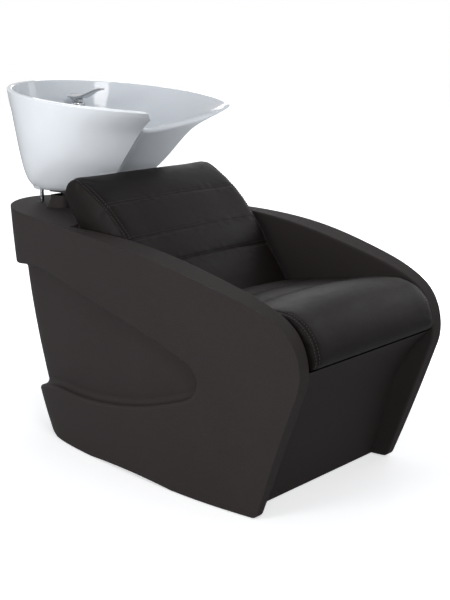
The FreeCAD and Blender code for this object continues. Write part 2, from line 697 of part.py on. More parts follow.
def make_hinge():
    """Cradle under the basin, the bracket on the stand, and the pins with their bushes."""
    plate_z = BASE_Z - BUFFER_THICK - CRADLE_THICK
    front, rear = HINGE_Y - CRADLE_FRONT, HINGE_Y + CRADLE_BACK
    outline = rounded_rect(CRADLE_HALF, front, rear, CRADLE_CORNER, plate_z)
    cradle = Part.Face(outline).extrude(V(0, 0, CRADLE_THICK))
    cradle = cradle.cut(cylinder(CRADLE_HOLE, OVERRUN, place(0, HINGE_Y, plate_z - FIT)))
    cheek_x = EAR_X + EAR_THICK + CHEEK_GAP
    foot_z = PAD_Z - PLATE_THICK
    bracket = box(-FLANGE_HALF, FLANGE_HALF, HINGE_Y - FLANGE_DEEP, HINGE_Y + FLANGE_DEEP, foot_z, PAD_Z)
    bracket = bracket.cut(cylinder(CRADLE_HOLE, OVERRUN, place(0, HINGE_Y, foot_z - FIT)))
    pins, bushes = [], []
    for side in (-1, 1):
        ear_low = min(side * EAR_X, side * (EAR_X + EAR_THICK))
        ear = box(ear_low, ear_low + EAR_THICK, HINGE_Y - EAR_HALF, HINGE_Y + EAR_HALF, HINGE_Z, plate_z)
        axis_at = place(ear_low, HINGE_Y, HINGE_Z)
        ear = ear.fuse(cylinder(EAR_HALF, EAR_THICK, axis_at, X_AXIS))
        bore = PIN_R + BUSH_WALL
        cradle = cradle.fuse(ear.cut(cylinder(bore, EAR_THICK, axis_at, X_AXIS)))
        bushes.append(tube(bore, PIN_R + PIN_RUN, EAR_THICK, axis_at, X_AXIS))
        cheek_low = min(side * cheek_x, side * (cheek_x + CHEEK_THICK))
        cheek_at = place(cheek_low, HINGE_Y, HINGE_Z)
        cheek = box(cheek_low, cheek_low + CHEEK_THICK, HINGE_Y - CHEEK_HALF, HINGE_Y + CHEEK_HALF,
                    PAD_Z, HINGE_Z)
        cheek = cheek.fuse(cylinder(CHEEK_HALF, CHEEK_THICK, cheek_at, X_AXIS))
        bracket = bracket.fuse(cheek.cut(cylinder(PIN_R, CHEEK_THICK, cheek_at, X_AXIS)))
        shaft = cheek_x + CHEEK_THICK - EAR_X
        out = X_AXIS * side
        pin = cylinder(PIN_R, shaft, place(side * EAR_X, HINGE_Y, HINGE_Z), out)
        head_at = place(side * (EAR_X + shaft), HINGE_Y, HINGE_Z)
        pins.append(pin.fuse(cylinder(PIN_HEAD_R, PIN_HEAD, head_at, out)))
    for x, y in bolt_places():
        cradle = cradle.cut(cylinder(BOLT_R, OVERRUN, place(x, y, plate_z - FIT)))
    return cradle, bracket, pins, bushes


def make_cradle_fixings():
    """Rubber rings between ceramic and cradle, and the bolts through them."""
    plate_z = BASE_Z - BUFFER_THICK - CRADLE_THICK
    rings, bolts = [], []
    for x, y in bolt_places():
        rings.append(tube(BOLT_HEAD_R * 2, BOLT_R, BUFFER_THICK, place(x, y, BASE_Z - BUFFER_THICK)))
        head = cylinder(BOLT_HEAD_R, BOLT_HEAD, place(x, y, plate_z - BOLT_HEAD))
        length = BUFFER_THICK + CRADLE_THICK + BOLT_DEEP
        bolts.append(head.fuse(cylinder(BOLT_R, length, place(x, y, plate_z))))
    for side in (-1, 1):
        pad = place(side * BOLT_X, HINGE_Y + PAD_BEHIND, BASE_Z - BUFFER_THICK)
        rings.append(cylinder(BOLT_HEAD_R * 2, BUFFER_THICK, pad))
    return rings, bolts


def make_stand_bolts():
    """Bolts up through the stand's plate and the bracket's foot into the pad of the body."""
    bolts = []
    low = PAD_Z - PLATE_THICK * 2
    for side in (-1, 1):
        for end in (-1, 1):
            at = place(side * STAND_BOLT_X, HINGE_Y + end * STAND_BOLT_Y, low)
            head = cylinder(BOLT_HEAD_R, BOLT_HEAD, at - V(0, 0, BOLT_HEAD))
            bolts.append(head.fuse(cylinder(BOLT_R, PLATE_THICK * 2 + BOLT_DEEP, at)))
    return bolts


def square_tube(x, y, z, length, axis):
    """Square steel tube along Y or Z, from the middle of its end."""
    half = TUBE / 2
    bore = half - TUBE_WALL
    if axis == "z":
        outer = box(x - half, x + half, y - half, y + half, z, z + length)
        return outer.cut(box(x - bore, x + bore, y - bore, y + bore, z, z + length))
    outer = box(x - half, x + half, y, y + length, z - half, z + half)
    return outer.cut(box(x - bore, x + bore, y, y + length, z - bore, z + bore))


def make_frame():
    """Floor frame of two rails and two cross bars, and the stand that carries the hinge."""
    half = TUBE / 2
    rail_top = RAIL_Z + TUBE
    rail_rear = HINGE_Y + half
    frame = None
    for side in (-1, 1):
        rail = square_tube(side * STAND_X, RAIL_FRONT, RAIL_Z + half, rail_rear - RAIL_FRONT, "y")
        frame = rail if frame is None else frame.fuse(rail)
    for y in CROSS_Y:
        reach = STAND_X - half
        bar = box(-reach, reach, y - half, y + half, RAIL_Z, rail_top)
        bar = bar.cut(box(-reach, reach, y - half + TUBE_WALL, y + half - TUBE_WALL, RAIL_Z + TUBE_WALL,
                          rail_top - TUBE_WALL))
        frame = frame.fuse(bar)
    stand = None
    top = PAD_Z - PLATE_THICK * 2
    for side in (-1, 1):
        post = square_tube(side * STAND_X, HINGE_Y, rail_top, top - rail_top, "z")
        stand = post if stand is None else stand.fuse(post)
    plate = box(-FLANGE_HALF, FLANGE_HALF, HINGE_Y - FLANGE_DEEP, HINGE_Y + FLANGE_DEEP,
                top, top + PLATE_THICK)
    stand = stand.fuse(plate.cut(cylinder(CRADLE_HOLE, OVERRUN, place(0, HINGE_Y, top - FIT))))
    posts = []
    y, z = pan_point(SEAT_POST_U, -SHELL_WALL)
    lean = math.radians(SEAT_TILT)
    for side in (-1, 1):
        x = side * STAND_X
        rise = math.tan(lean) * half
        outer = [place(x - half, y - half, rail_top), place(x - half, y + half, rail_top),
                 place(x - half, y + half, z - rise), place(x - half, y - half, z + rise)]
        post = prism(outer, X_AXIS * TUBE)
        bore = half - TUBE_WALL
        posts.append(post.cut(box(x - bore, x + bore, y - bore, y + bore, rail_top, rail_top + PAN_FRONT_Z)))
    return frame, stand, posts


def make_feet():
    """Levelling feet: tapered discs under both ends of the rails."""
    feet = []
    for y in FEET_Y:
        for side in (-1, 1):
            feet.append(Part.makeCone(FOOT_R, FOOT_R - FOOT_TAPER, RAIL_Z, place(side * STAND_X, y, 0)))
    return feet


def make_rods():
    """Pair of chrome props behind the hinge, with their deck bushes and rubber tips."""
    bushes, rods, tips = [], [], []
    top = BASE_Z - BUFFER_GAP
    for x in (-ROD_X, ROD_X):
        collar = tube(ROD_COLLAR_R, ROD_R + FIT, ROD_COLLAR, place(x, ROD_Y, ROD_SEAT_Z))
        sleeve = tube(ROD_SLEEVE_R, ROD_R + FIT, ROD_SLEEVE, place(x, ROD_Y, ROD_SEAT_Z - ROD_SLEEVE))
        bushes.append(collar.fuse(sleeve))
        tip_at = place(x, ROD_Y, top - BUFFER_HIGH)
        tips.append(Part.makeCone(BUFFER_R, BUFFER_R - ROD_R, BUFFER_HIGH, tip_at))
        rods.append(cylinder(ROD_R, ROD_LENGTH, place(x, ROD_Y, top - BUFFER_HIGH - ROD_LENGTH)))
    return bushes, rods, tips


def make_waste():
    """Outlet through the bowl: lipped tube, gasket, nut, tail pipe and hair strainer."""
    lip_z = BOWL_FLOOR - WASTE_LIP
    bore = WASTE_R - WASTE_WALL
    flange = tube(WASTE_LIP_R, bore, WASTE_LIP, place(0, HINGE_Y, lip_z))
    flange = flange.fuse(tube(WASTE_R, bore, WASTE_LENGTH, place(0, HINGE_Y, lip_z - WASTE_LENGTH)))
    under = BASE_Z + BASE_RECESS_DEEP
    gasket = tube(NUT_R + GASKET, WASTE_R, GASKET, place(0, HINGE_Y, under - GASKET))
    nut = hex_nut(NUT_R, WASTE_R, NUT_HIGH, place(0, HINGE_Y, under - GASKET - NUT_HIGH))
    tail_top = lip_z - WASTE_LENGTH
    tail = tube(bore, TAIL_R - TAIL_WALL, TAIL_SOCKET, place(0, HINGE_Y, tail_top))
    tail = tail.fuse(tube(TAIL_R, TAIL_R - TAIL_WALL, TAIL_LENGTH, place(0, HINGE_Y, tail_top - TAIL_LENGTH)))
    return flange, gasket, nut, tail


def hex_nut(across, bore, height, base):
    """Hexagon with its flats at the given radius, bored through."""
    corner = across / math.cos(math.radians(30))
    points = []
    for step in range(6):
        turn = math.radians(60 * step)
        points.append(base + V(corner * math.cos(turn), corner * math.sin(turn), 0))
    return prism(points, V(0, 0, height)).cut(cylinder(bore, height, base))


def make_strainer():
    """Domed hair strainer with a ring of holes and a small knob, resting on the outlet lip."""
    base = place(0, HINGE_Y, BOWL_FLOOR)
    ball = (STRAINER_RIM_R ** 2 + STRAINER_HIGH ** 2) / (2 * STRAINER_HIGH)
    centre = base + V(0, 0, STRAINER_HIGH - ball)
    dome = Part.makeSphere(ball, centre).cut(Part.makeSphere(ball - STRAINER_WALL, centre))
    keep = cylinder(STRAINER_RIM_R, ball, base)
    dome = dome.common(keep)
    dome = dome.fuse(tube(STRAINER_RIM_R, STRAINER_RIM_R - STRAINER_WALL * 2, STRAINER_WALL, base))
    bore = STRAINER_R - STRAINER_WALL
    dome = dome.fuse(tube(STRAINER_R, bore, STRAINER_SKIRT, base - V(0, 0, STRAINER_SKIRT)))
    dome = dome.fuse(tube(STRAINER_RIM_R, bore, STRAINER_WALL, base))
    knob = cylinder(STRAINER_KNOB_R, STRAINER_HIGH, base + V(0, 0, STRAINER_HIGH - STRAINER_WALL))
    dome = dome.fuse(knob)
    for share in STRAINER_RING_SHARES:
        for step in range(STRAINER_HOLES):
            turn = math.radians(360 / STRAINER_HOLES * step)
            ring = STRAINER_R * share
            at = base + V(ring * math.cos(turn), ring * math.sin(turn), STRAINER_WALL)
            dome = dome.cut(cylinder(STRAINER_HOLE_R, STRAINER_HIGH * 2, at))
    return dome


def make_mixer():
    """Single-lever mixer on the tap ledge: seal, body, shank, nut, turret and lever."""
    base = place(MIXER_X, MIXER_Y, LEDGE_Z)
    seal = tube(MIXER_R, SHANK_R, MIXER_SEAL, base)
    foot = base + V(0, 0, MIXER_SEAL)
    body = Part.makeCone(MIXER_R, MIXER_R - MIXER_TAPER, MIXER_HIGH, foot)
    body = body.makeFillet(MIXER_TAPER, [e for e in body.Edges if e.BoundBox.ZMin > foot.z + MIXER_HIGH / 2
                                         and e.BoundBox.ZLength < FIT])
    top = foot + V(0, 0, MIXER_HIGH)
    body = body.cut(cylinder(TURRET_NECK_R + FIT, TURRET_NECK + FIT, top - V(0, 0, TURRET_NECK + FIT)))
    shank = cylinder(SHANK_R, SHANK_LENGTH + MIXER_SEAL, foot - V(0, 0, SHANK_LENGTH + MIXER_SEAL))
    for side in (-1, 1):
        shank = shank.cut(cylinder(SHANK_BORE_R, SHANK_LENGTH / 2,
                                   foot + V(side * SHANK_BORE_X, 0, -SHANK_LENGTH - MIXER_SEAL)))
    nut = hex_nut(MIXER_NUT_R, SHANK_R, MIXER_NUT, base - V(0, 0, LEDGE_THICK + MIXER_NUT))
    turret_at = top + V(0, 0, FIT)
    turret = cylinder(TURRET_R, TURRET_HIGH, turret_at)
    turret = turret.makeFillet(MIXER_TAPER / 2, [e for e in turret.Edges if e.BoundBox.ZLength < FIT])
    turret = turret.fuse(cylinder(TURRET_NECK_R, TURRET_NECK + FIT, turret_at - V(0, 0, TURRET_NECK)))
    ears = cylinder(LEVER_PIVOT_R, LEVER_PIVOT_HALF * 2,
                    turret_at + V(-LEVER_PIVOT_HALF, LEVER_PIVOT_BACK, TURRET_HIGH + LEVER_PIVOT_UP), X_AXIS)
    web = Part.makeBox(LEVER_PIVOT_HALF * 2, LEVER_PIVOT_R * 2, LEVER_PIVOT_UP + TURRET_HIGH / 2,
                       turret_at + V(-LEVER_PIVOT_HALF, LEVER_PIVOT_BACK - LEVER_PIVOT_R, TURRET_HIGH / 2))
    turret = turret.fuse(ears).fuse(web)
    return seal, body, shank, nut, turret, make_lever(turret_at + V(0, 0, TURRET_HIGH + LEVER_GAP))


def make_lever(seat):
    """Lever: a broad cap over the turret that thins to a raised tip over the bowl."""
    wires = []
    for share in LEVER_SHARES:
        y = LEVER_BACK - (LEVER_BACK + LEVER_LENGTH) * share
        fall = math.cos(share * math.pi / 2)
        half = LEVER_TIP_HALF + (LEVER_HALF - LEVER_TIP_HALF) * fall ** LEVER_TAPER_POWER
        thick = LEVER_TIP_THICK + (LEVER_THICK - LEVER_TIP_THICK) * fall
        bend = max(0, share - LEVER_BEND_SHARE) / (1 - LEVER_BEND_SHARE)
        low = LEVER_RISE * (1 - math.cos(math.pi * bend)) / 2
        points = [V(-half, y, low), V(half, y, low), V(half, y, low + thick / 2)]
        crown = V(0, y, low + thick)
        bottom = Part.makeLine(seat + points[0], seat + points[1])
        right = Part.makeLine(seat + points[1], seat + points[2])
        over = arc(seat + points[2], seat + crown, seat + V(-half, y, low + thick / 2))
        left = Part.makeLine(seat + V(-half, y, low + thick / 2), seat + points[0])
        wires.append(Part.Wire([bottom, right, over, left]))
    lever = Part.makeLoft(wires, True, False)
    room = LEVER_PIVOT_HALF + LEVER_GAP
    bore = LEVER_PIVOT_R + LEVER_GAP
    at = seat + V(-room, LEVER_PIVOT_BACK, LEVER_PIVOT_UP - LEVER_GAP)
    slot = cylinder(bore, room * 2, at, X_AXIS)
    slot = slot.fuse(Part.makeBox(room * 2, bore * 2, bore * 2, at - V(0, bore, bore * 2)))
    heel = LEVER_BACK - LEVER_PIVOT_BACK + bore + OVERRUN
    relief = Part.makeBox(LEVER_HALF * 2 + OVERRUN, heel, LEVER_PIVOT_UP + LEVER_GAP,
                          seat + V(-LEVER_HALF - OVERRUN / 2, LEVER_PIVOT_BACK - bore, -LEVER_GAP))
    return lever.cut(slot).cut(relief)


def make_shower():
    """Ledge collar and nut, with the hand shower parked in the collar."""
    base = place(SHOWER_X, MIXER_Y, LEDGE_Z)
    collar = Part.makeCone(COLLAR_R, COLLAR_TUBE_R, COLLAR_HIGH, base)
    collar = collar.fuse(cylinder(COLLAR_TUBE_R, COLLAR_TUBE, base - V(0, 0, COLLAR_TUBE)))
    collar = collar.cut(cylinder(COLLAR_BORE_R, COLLAR_TUBE + COLLAR_HIGH, base - V(0, 0, COLLAR_TUBE)))
    nut = hex_nut(COLLAR_NUT_R, COLLAR_TUBE_R, COLLAR_NUT, base - V(0, 0, LEDGE_THICK + COLLAR_NUT))
    shoulder = base + V(0, 0, COLLAR_HIGH + FIT)
    rise = HEAD_Z - shoulder.z
    neck = rise * HEAD_NECK_SHARE
    profile = [V(0, 0, -HANDLE_DOWN), V(HANDLE_R - HANDLE_END, 0, -HANDLE_DOWN),
               V(HANDLE_R, 0, HANDLE_END - HANDLE_DOWN), V(HANDLE_R, 0, 0), V(COLLAR_TUBE_R, 0, 0),
               V(HANDLE_R, 0, neck / 2), V(HANDLE_R, 0, neck),
               V(HEAD_R, 0, rise - HEAD_SKIRT), V(HEAD_R, 0, rise - HEAD_SKIRT / 2)]
    outline = [shoulder + point for point in profile]
    edges = [Part.makeLine(a, b) for a, b in zip(outline, outline[1:])]
    crown = shoulder + V(0, 0, rise)
    dome = HEAD_SKIRT / 2
    ball = (HEAD_R ** 2 + dome ** 2) / (2 * dome)
    turn = math.asin(HEAD_R / ball) / 2
    middle = shoulder + V(ball * math.sin(turn), 0, rise - ball * (1 - math.cos(turn)))
    edges.append(arc(outline[-1], middle, crown))
    edges.append(Part.makeLine(crown, outline[0]))
    shower = Part.Face(Part.Wire(edges)).revolve(shoulder, Z_AXIS, 360)
    return collar, nut, shower


def screw(at, inward):
    """Countersunk screw: its head stands on the surface and its shank goes inwards."""
    head = cylinder(SCREW_HEAD_R, SCREW_HEAD, at - inward * SCREW_HEAD, inward)
    return head.fuse(cylinder(SCREW_R, SHELL_WALL + SCREW_DEEP, at, inward))


def make_screws():
    """Screws from inside the body through its wall into the two boards."""
    tilt, rake = math.radians(SEAT_TILT), math.radians(BACK_RAKE)
    up = V(0, math.sin(tilt), math.cos(tilt))
    out = V(0, -math.cos(rake), math.sin(rake))
    seat, back = [], []
    for x in (-SCREW_X, SCREW_X):
        seat += [screw(place(x, *pan_point(u, -SHELL_WALL)), up) for u in SEAT_SCREW_U]
        back += [screw(place(x, *back_point(s, -SHELL_WALL)), out) for s in BACK_SCREW_S]
    return seat, back


def drill(solid, tools):
    for tool in tools:
        solid = solid.cut(tool)
    return solid


def save(name, shapes):
    """Write one node: a single solid, or a group of separate solids."""
    group = shapes if isinstance(shapes, list) else [shapes]
    for shape in group:
        assert shape.isValid() and len(shape.Solids) == 1, name
    shape = group[0] if len(group) == 1 else Part.makeCompound(group)
    shape.exportStep(os.path.join("parts", name + ".step"))
    print(name, len(group), round(sum(s.Volume for s in group) / 1000, 1), "cm3")


def main():
    os.makedirs("parts", exist_ok=True)
    seat_screws, back_screws = make_screws()
    seat_board, back_board = make_boards()
    save("seat_board", drill(seat_board, seat_screws))
    save("back_board", drill(back_board, back_screws))
    save("seat_cushion", cushion_sections(seat_profile, SEAT_CROWN))
    save("back_cushion", cushion_sections(back_profile, BACK_CROWN))
    save("basin", make_basin())
    cradle, bracket, pins, bushes = make_hinge()
    rings, bolts = make_cradle_fixings()
    stand_bolts = make_stand_bolts()
    frame, stand, posts = make_frame()
    feet = make_feet()
    rod_bushes, rods, tips = make_rods()
    flange, gasket, nut, tail = make_waste()
    seal, body, shank, mixer_nut, turret, lever = make_mixer()
    collar, collar_nut, shower = make_shower()
    nodes = {"tilt_cradle": cradle, "hinge_bracket": drill(bracket, stand_bolts), "hinge_pins": pins,
             "hinge_bushes": bushes, "basin_washers": rings, "basin_bolts": bolts, "base_frame": frame,
             "basin_stand": drill(stand, stand_bolts), "stand_bolts": stand_bolts,
             "seat_posts": posts, "floor_feet": feet, "rod_bushes": rod_bushes, "support_rods": rods,
             "rod_tips": tips,
             "waste_flange": flange, "waste_gasket": gasket, "waste_nut": nut, "waste_tail": tail,
             "hair_strainer": make_strainer(), "mixer_seal": seal, "mixer_body": body, "mixer_shank": shank,
             "mixer_nut": mixer_nut, "lever_turret": turret, "mixer_lever": lever, "shower_collar": collar,
             "collar_nut": collar_nut, "hand_shower": shower, "seat_screws": seat_screws,
             "back_screws": back_screws}
    for name, shape in nodes.items():
        save(name, shape)
    save("body_shell", drill(make_body_shell(), seat_screws + back_screws + stand_bolts))


main()
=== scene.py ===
# %% [markdown]
# # Dressing a backwash unit
# A backwash unit is a salon chair with a tilting ceramic basin behind its back cushion. Its solids come in
# as a fixed frame with joints. They could be modelled again here, but then the two would drift apart. So this
# lesson keeps the solids, gives each surface its finish, and makes anew only what is soft or sewn.

# %% Setup
import json
import math

import bmesh
import bpy
from mathutils import Matrix, Vector
from mathutils.bvhtree import BVHTree
from mathutils.kdtree import KDTree
from mathutils.noise import noise as noise3


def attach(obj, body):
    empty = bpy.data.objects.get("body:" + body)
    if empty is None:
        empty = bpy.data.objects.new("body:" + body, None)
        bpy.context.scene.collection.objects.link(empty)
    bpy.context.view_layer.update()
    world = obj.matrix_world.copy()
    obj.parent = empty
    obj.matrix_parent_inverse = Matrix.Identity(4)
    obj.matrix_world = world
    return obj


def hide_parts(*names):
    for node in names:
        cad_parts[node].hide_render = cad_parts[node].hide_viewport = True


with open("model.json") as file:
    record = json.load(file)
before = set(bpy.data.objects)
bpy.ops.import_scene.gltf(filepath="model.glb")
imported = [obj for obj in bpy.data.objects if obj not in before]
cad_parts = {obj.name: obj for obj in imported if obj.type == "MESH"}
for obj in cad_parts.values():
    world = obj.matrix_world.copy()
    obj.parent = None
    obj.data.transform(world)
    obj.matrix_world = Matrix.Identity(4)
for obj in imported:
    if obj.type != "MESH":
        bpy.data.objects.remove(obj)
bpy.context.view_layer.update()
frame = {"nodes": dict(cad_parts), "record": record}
nodes = frame["nodes"]
print("frame of", len(nodes), "nodes")

# %% [markdown]
# ## Camera
# The camera stands to the front and to one side, a little above the basin, with a long lens that keeps the
# upright edges nearly parallel. It could be aimed at a target with a constraint. Plain angles were chosen,
# because they can be read and changed one at a time. The long side of the picture is the upright one.

# %% Camera
SENSOR_HIGH = 36.0
FOCAL_LENGTH = 80.4
CAMERA_PLACE = (-2.71, -2.2592, 1.18)
CAMERA_TILT = math.radians(77.9)
CAMERA_TURN = math.radians(-51.7)

lens = bpy.data.cameras.new("camera")
lens.sensor_fit = "VERTICAL"
lens.sensor_height = SENSOR_HIGH
lens.lens = FOCAL_LENGTH
camera = bpy.data.objects.new("camera", lens)
camera.location = CAMERA_PLACE
camera.rotation_euler = (CAMERA_TILT, 0, CAMERA_TURN)
bpy.context.collection.objects.link(camera)
bpy.context.scene.camera = camera
print("camera at", tuple(round(v, 3) for v in camera.location))

# %% [markdown]
# ## Shader arithmetic
# A finish is a small formula: some noise, scaled and added up. In the node editor that is a web of math
# nodes, which is hard to read in a script. A small class wraps an output socket instead, so that a finish
# reads like the formula it is. Each operator makes one math node, and `node` makes any other kind.


# %% Shader class
class Wire:
    """An output socket in a shader tree that arithmetic works on."""

    def __init__(self, tree, socket=None):
        self.tree = tree
        self.socket = socket

    def node(self, kind, inputs=(), out=0, **settings):
        """A new node with its settings, then its values and links, and one of its outputs."""
        made = self.tree.nodes.new("ShaderNode" + kind)
        for key, value in settings.items():
            setattr(made, key, value)
        pairs = inputs.items() if isinstance(inputs, dict) else enumerate(inputs)
        for key, value in pairs:
            if isinstance(value, Wire):
                self.tree.links.new(value.socket, made.inputs[key])
            else:
                made.inputs[key].default_value = value
        return Wire(self.tree, made.outputs[out])

    def __add__(self, other):
        return self.node("Math", (self, other), operation="ADD")

    def __mul__(self, other):
        return self.node("Math", (self, other), operation="MULTIPLY")

    __radd__ = __add__
    __rmul__ = __mul__


print("operators:", [name for name in vars(Wire) if name.startswith("__r")])

# %% [markdown]
# ## Finishes
# A finish starts from a plain shader whose even values are set on its own sockets. Only colour, roughness
# and the surface normal vary. They could come from painted pictures, but noise needs no unwrapping and stays
# sharp from any distance. It is measured in metres on the object, so a grain has its real size.

# %% Finish helpers
CELL_SCATTER = 0.9
MIX_DARK, MIX_LIGHT, MIX_COLOUR = 6, 7, 2  # the colour sockets of a Mix node


def shader(name, **even):
    """A new material, its main shader, and a wire to start formulas from."""
    made = bpy.data.materials.new(name)
    made.use_nodes = True
    main = made.node_tree.nodes["Principled BSDF"]
    for key, value in even.items():
        main.inputs[key.replace("_", " ")].default_value = value
    return made, main, Wire(made.node_tree)


def here(wire):
    """The place on the object, in metres."""
    return wire.node("TexCoord", out="Object")


def noise(wire, place, waves, detail=2.0, rough=0.5, stretch=None):
    """Noise between 0 and 1 at so many waves to the metre."""
    if stretch:
        place = wire.node("Mapping", {"Vector": place, "Scale": stretch})
    return wire.node("TexNoise", {"Vector": place, "Scale": waves, "Detail": detail, "Roughness": rough})


def cells(wire, place, waves, **settings):
    """Distance inside the cells of a pebbled grain."""
    return wire.node("TexVoronoi", {"Vector": place, "Scale": waves, "Randomness": CELL_SCATTER}, **settings)


def tint(wire, factor, dark, light):
    """A colour between two, by a factor."""
    ends = {"Factor": factor, MIX_DARK: (*dark, 1), MIX_LIGHT: (*light, 1)}
    return wire.node("Mix", ends, out=MIX_COLOUR, data_type="RGBA")


def drive(wire, main, **inputs):
    """Links formulas to the main shader's sockets."""
    for key, value in inputs.items():
        wire.tree.links.new(value.socket, main.inputs[key.replace("_", " ")])


def relief(wire, height, strength, depth):
    """A surface normal that follows a height."""
    return wire.node("Bump", {"Height": height, "Strength": strength, "Distance": depth})


print("helpers ready")

# %% [markdown]
# The body is a charcoal moulding with a fine pebbled skin that breaks up the light. A flat grey would look
# like paint, so small cells and finer noise roughen it. The cushions are in dark leather: larger, softer
# cells between creases that run along the seat. The basin is white ceramic, smooth under its glaze, with a
# slow ripple that bends the reflections a little.

# %% Moulding, leather and glaze
CHARCOAL = (0.0215, 0.0172, 0.0172), (0.0325, 0.0265, 0.0262)
HIDE = (0.003, 0.0021, 0.0021), (0.009, 0.0062, 0.0057)
HIDE_STRETCH = (1.0, 2.2, 2.2)
PORCELAIN = (0.775, 0.805, 0.84), (0.815, 0.845, 0.88)


def moulding():
    made, main, wire = shader("charcoal_moulding", Specular_IOR_Level=0.1)
    place = here(wire)
    pebble = cells(wire, place, waves=620.0, feature="SMOOTH_F1")
    broad = noise(wire, place, waves=7.0, detail=3.0)
    fine = noise(wire, place, waves=1500.0, detail=1.0)
    drive(wire, main,
          Base_Color=tint(wire, broad * 0.6 + pebble * 0.4, *CHARCOAL),
          Roughness=0.58 + broad * 0.1 + fine * 0.1,
          Normal=relief(wire, pebble + fine * 0.4, strength=0.5, depth=0.0009))
    return made


def leather():
    made, main, wire = shader("dark_leather", Specular_IOR_Level=0.1)
    place = here(wire)
    grain = cells(wire, place, waves=430.0, feature="DISTANCE_TO_EDGE")
    crease = noise(wire, place, waves=26.0, detail=4.0, rough=0.6, stretch=HIDE_STRETCH)
    broad = noise(wire, place, waves=5.0)
    drive(wire, main,
          Base_Color=tint(wire, broad * 0.5 + crease * 0.5, *HIDE),
          Roughness=0.36 + crease * 0.16 + broad * 0.08,
          Normal=relief(wire, grain * 0.5 + crease * 1.3, strength=0.3, depth=0.0016))
    return made


def glaze():
    made, main, wire = shader("white_ceramic", Specular_IOR_Level=0.35)
    place = here(wire)
    ripple = noise(wire, place, waves=14.0)
    speck = noise(wire, place, waves=420.0, detail=1.0)
    drive(wire, main,
          Base_Color=tint(wire, ripple * 0.8 + speck * 0.2, *PORCELAIN),
          Roughness=0.07 + ripple * 0.05,
          Normal=relief(wire, ripple + speck * 0.02, strength=0.06, depth=0.004))
    return made


finishes = {"charcoal_moulding": moulding(), "dark_leather": leather(), "white_ceramic": glaze()}
print("made", list(finishes))

# %% [markdown]
# The tap and the rods are chromed, and the frame inside is painted steel. Rubber, plastic, thread and stained
# plywood make up the rest. Each could be a shader of its own. Two functions with a few values are enough for
# the metals and the coated things, because these differ only in colour, gloss and the size of their skin.

# %% Metals, rubber, wood and plastic
BRUSH_STRETCH = (1.0, 1.0, 0.06)
RING_STRETCH = (0.15, 1.0, 5.0)
PORE_STRETCH = (0.1, 1.0, 1.0)
STAINED_WOOD = (0.022, 0.018, 0.015), (0.04, 0.033, 0.028)


def metal(name, dark, light, rough, brushed):
    """Bare or plated metal, smooth or with brush lines."""
    made, main, wire = shader(name, Metallic=1.0)
    place = here(wire)
    smear = noise(wire, place, waves=60.0, detail=3.0)
    lines = noise(wire, place, waves=220.0, detail=3.0, rough=0.6, stretch=BRUSH_STRETCH)
    drive(wire, main,
          Base_Color=tint(wire, smear, dark, light),
          Roughness=rough + smear * 0.04 + lines * brushed,
          Normal=relief(wire, lines, strength=brushed, depth=0.0002))
    return made


def coated(name, dark, light, rough, waves, depth):
    """Paint, rubber, plastic or thread with a skin of fine noise."""
    made, main, wire = shader(name, Specular_IOR_Level=0.4)
    place = here(wire)
    skin = noise(wire, place, waves)
    broad = noise(wire, place, waves=9.0)
    drive(wire, main,
          Base_Color=tint(wire, broad * 0.6 + skin * 0.4, dark, light),
          Roughness=rough + skin * 0.12,
          Normal=relief(wire, skin, strength=0.3, depth=depth))
    return made


def plywood():
    made, main, wire = shader("plywood", Specular_IOR_Level=0.3)
    place = here(wire)
    rings = noise(wire, place, waves=16.0, detail=4.0, rough=0.6, stretch=RING_STRETCH)
    pores = noise(wire, place, waves=500.0, stretch=PORE_STRETCH)
    drive(wire, main,
          Base_Color=tint(wire, rings * 0.7 + pores * 0.3, *STAINED_WOOD),
          Roughness=0.6 + pores * 0.15,
          Normal=relief(wire, rings + pores, strength=0.2, depth=0.0004))
    return made


METALS = {"chrome_plate": ((0.44, 0.45, 0.47), (0.54, 0.55, 0.57), 0.04, 0.0),
          "bright_steel": ((0.48, 0.48, 0.49), (0.6, 0.6, 0.6), 0.26, 0.2)}
COATS = {"dark_steel": ((0.02, 0.02, 0.022), (0.034, 0.034, 0.036), 0.42, 700.0, 0.0003),
         "black_rubber": ((0.01, 0.01, 0.01), (0.02, 0.02, 0.02), 0.66, 400.0, 0.0004),
         "white_plastic": ((0.68, 0.68, 0.66), (0.78, 0.78, 0.76), 0.38, 300.0, 0.0002),
         "thread": ((0.022, 0.019, 0.019), (0.05, 0.045, 0.044), 0.5, 900.0, 0.0003)}
finishes.update({name: metal(name, *values) for name, values in METALS.items()})
finishes.update({name: coated(name, *values) for name, values in COATS.items()})
finishes["plywood"] = plywood()
for part in frame["record"]["subparts"]:
    piece = nodes[part["node"]]
    piece.data.materials.clear()
    piece.data.materials.append(finishes[part["material_slot"]])
print("finishes on", len(nodes), "nodes")

# %% [markdown]
# ## Cushions
# Seat and back are foam in sewn leather. They could be sculpted, but then every dent would be a guess. Here
# each starts from its solid, a little shrunk, and Blender's cloth blows it up while the seams and the side
# against the board are held, so that the leather swells between the seams as stuffing makes it. First come
# the places of the two cushions: a root, a way along the cushion, and a way out from its board.

